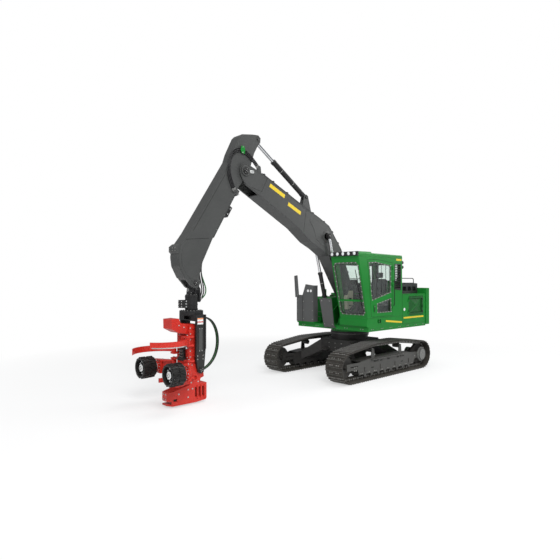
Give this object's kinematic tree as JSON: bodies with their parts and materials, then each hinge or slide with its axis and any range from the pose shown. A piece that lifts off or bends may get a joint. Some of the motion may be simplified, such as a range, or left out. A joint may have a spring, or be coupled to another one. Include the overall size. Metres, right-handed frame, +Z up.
{
  "type": "tracked forestry harvester",
  "caption": "Tracked forestry harvester with a slewing cab, lifting boom and arm, and a hanging head with knives, feed rollers and a saw that fells and delimbs trees.",
  "frame": {"origin": "on the ground, below the middle of the bounding box of the parked machine", "axes": "+X forward to the harvester head, +Y to the operator's left, +Z up"},
  "size_m": [10.43, 3.22, 6.85],
  "materials": {
    "black_paint": "satin",
    "cast_iron": "rough",
    "charcoal_paint": "satin",
    "chrome": "polished",
    "fabric": "woven",
    "glass": "clear",
    "green_paint": "gloss",
    "grey_paint": "satin",
    "lamp": "clear",
    "plastic": "matte",
    "red_paint": "gloss",
    "rubber": "matte",
    "track_steel": "worn"
  },
  "bodies": {
    "undercarriage": {"car_body": "black_paint", "slew_ring": "black_paint", "track_left": "track_steel", "track_right": "track_steel", "track_frame_left": "black_paint", "track_frame_right": "black_paint", "sprocket_left": "cast_iron", "sprocket_right": "cast_iron", "rollers_left": "cast_iron", "rollers_right": "cast_iron", "final_drive_left": "grey_paint", "final_drive_right": "grey_paint"},
    "upper": {"deck": "green_paint", "boom_mount": "green_paint", "left_housing": "green_paint", "cooler": "plastic", "right_housing": "green_paint", "fuel_tank": "green_paint", "hood": "black_paint", "engine_block": "cast_iron", "counterweight": "green_paint", "front_box": "green_paint", "guards": "charcoal_paint", "lamps": "lamp", "cab_shell": "green_paint", "cab_base": "green_paint", "cab_glass": "glass", "cab_louvre": "black_paint", "cab_roof": "green_paint", "visor": "black_paint", "seat": "fabric", "consoles": "plastic"},
    "cab_door": {"cab_door": "green_paint", "door_glass": "glass"},
    "left_door": {"left_door": "green_paint"},
    "right_door": {"right_door": "green_paint"},
    "boom": {"boom": "charcoal_paint", "boom_hoses": "rubber", "boom_pipes": "black_paint"},
    "lift_barrels": {"lift_barrels": "black_paint"},
    "lift_rods": {"lift_rods": "chrome"},
    "crowd_barrel": {"crowd_barrel": "black_paint"},
    "crowd_rod": {"crowd_rod": "chrome"},
    "arm": {"arm": "charcoal_paint", "arm_hoses": "rubber"},
    "link": {"link": "black_paint"},
    "rotator": {"rotator": "black_paint"},
    "hanger": {"hanger": "black_paint", "head_hoses": "rubber"},
    "tilt_barrel": {"tilt_barrel": "black_paint"},
    "tilt_rod": {"tilt_rod": "chrome"},
    "head": {"head_frame": "red_paint", "saw_box": "red_paint"},
    "saw_bar": {"saw_bar": "track_steel"},
    "knife_left": {"knife_left": "red_paint"},
    "knife_right": {"knife_right": "red_paint"},
    "feed_arm_left": {"feed_arm_left": "red_paint"},
    "feed_arm_right": {"feed_arm_right": "red_paint"},
    "feed_roller_left": {"feed_roller_left": "cast_iron"},
    "feed_roller_right": {"feed_roller_right": "cast_iron"}
  },
  "joints": [
    {"name": "slew", "type": "hinge", "parent": "undercarriage", "child": "upper", "pos_m": [-2.285, 0, 1.3], "axis": [0, 0, 1], "continuous": true},
    {"name": "boom_lift", "type": "hinge", "parent": "upper", "child": "boom", "pos_m": [-2.235, 0, 2.12], "axis": [0, -1, 0], "range_deg": [-32, 14]},
    {"name": "arm_crowd", "type": "hinge", "parent": "boom", "child": "arm", "pos_m": [2.395, 0, 5.8], "axis": [0, 1, 0], "range_deg": [-29, 40], "deforming": ["boom_hoses"]},
    {"name": "head_swing", "type": "hinge", "parent": "arm", "child": "link", "pos_m": [3.895, 0, 2.87], "axis": [0, -1, 0], "range_deg": [-45, 45], "deforming": ["arm_hoses"]},
    {"name": "head_sway", "type": "hinge", "parent": "link", "child": "rotator", "pos_m": [3.895, 0, 2.7], "axis": [1, 0, 0], "range_deg": [-30, 30]},
    {"name": "head_turn", "type": "hinge", "parent": "rotator", "child": "hanger", "pos_m": [3.895, 0, 2.2], "axis": [0, 0, 1], "continuous": true},
    {"name": "head_tilt", "type": "hinge", "parent": "hanger", "child": "head", "pos_m": [3.855, 0, 0.8], "axis": [0, 1, 0], "range_deg": [0, 90], "deforming": ["head_hoses"]},
    {"name": "knife_left_close", "type": "hinge", "parent": "head", "child": "knife_left", "pos_m": [4.195, 0.3, 1.43], "axis": [0, 0, -1], "range_deg": [-10, 45]},
    {"name": "knife_right_close", "type": "hinge", "parent": "head", "child": "knife_right", "pos_m": [4.195, -0.3, 1.2], "axis": [0, 0, 1], "range_deg": [-10, 45]},
    {"name": "feed_left_close", "type": "hinge", "parent": "head", "child": "feed_arm_left", "pos_m": [4.175, 0.33, 0.845], "axis": [0, 0, -1], "range_deg": [-4, 26]},
    {"name": "feed_right_close", "type": "hinge", "parent": "head", "child": "feed_arm_right", "pos_m": [4.175, -0.33, 0.845], "axis": [0, 0, 1], "range_deg": [-4, 26]},
    {"name": "feed_roller_left_spin", "type": "hinge", "parent": "feed_arm_left", "child": "feed_roller_left", "pos_m": [4.585, 0.64, 0.845], "axis": [1, 0, 0], "continuous": true},
    {"name": "feed_roller_right_spin", "type": "hinge", "parent": "feed_arm_right", "child": "feed_roller_right", "pos_m": [4.585, -0.64, 0.845], "axis": [1, 0, 0], "continuous": true},
    {"name": "saw_swing", "type": "hinge", "parent": "head", "child": "saw_bar", "pos_m": [4.475, 0.175, 0.11], "axis": [0, 0, 1], "range_deg": [0, 150]},
    {"name": "cab_door_open", "type": "hinge", "parent": "upper", "child": "cab_door", "pos_m": [-2.603, 1.466, 2.6], "axis": [0, 0, 1], "range_deg": [0, 100]},
    {"name": "left_door_open", "type": "hinge", "parent": "upper", "child": "left_door", "pos_m": [-3.563, 1.466, 2.1], "axis": [0, 0, -1], "range_deg": [0, 100]},
    {"name": "right_door_open", "type": "hinge", "parent": "upper", "child": "right_door", "pos_m": [-3.463, -1.466, 2.1], "axis": [0, 0, 1], "range_deg": [0, 100]},
    {"name": "lift_pivot", "type": "hinge", "parent": "upper", "child": "lift_barrels", "pos_m": [-1.555, 0, 1.82], "axis": [0, -1, 0], "range_deg": [-33.34, 15.15]},
    {"name": "lift_stroke", "type": "slide", "parent": "lift_barrels", "child": "lift_rods", "axis": [0.2716, 0, 0.9624], "range_m": [-0.4137, 0.1838]},
    {"name": "crowd_pivot", "type": "hinge", "parent": "boom", "child": "crowd_barrel", "pos_m": [-0.105, 0, 5.44], "axis": [0, -1, 0], "range_deg": [-3.6, 2.88]},
    {"name": "crowd_stroke", "type": "slide", "parent": "crowd_barrel", "child": "crowd_rod", "axis": [0.8365, 0, 0.5479], "range_m": [-0.5221, 0.7183]},
    {"name": "tilt_cylinder_pivot", "type": "hinge", "parent": "hanger", "child": "tilt_barrel", "pos_m": [3.64, 0, 1.93], "axis": [0, -1, 0], "range_deg": [-3.02, 1]},
    {"name": "tilt_cylinder_stroke", "type": "slide", "parent": "tilt_barrel", "child": "tilt_rod", "axis": [0, 0, -1], "range_m": [-0.4094, 0.005]}
  ],
  "couplings": [
    {"joint": "knife_right_close", "follows": "knife_left_close", "ratio": 1},
    {"joint": "feed_right_close", "follows": "feed_left_close", "ratio": 1},
    {"joint": "lift_pivot", "follows": "boom_lift", "ratio": 1.0105},
    {"joint": "lift_stroke", "follows": "boom_lift", "m_per_rad": 0.73177},
    {"joint": "crowd_pivot", "follows": "arm_crowd", "ratio": -0.064929},
    {"joint": "crowd_stroke", "follows": "arm_crowd", "m_per_rad": 1.0217},
    {"joint": "tilt_cylinder_pivot", "follows": "head_tilt", "ratio": -0.022387},
    {"joint": "tilt_cylinder_stroke", "follows": "head_tilt", "m_per_rad": -0.25743}
  ]
}
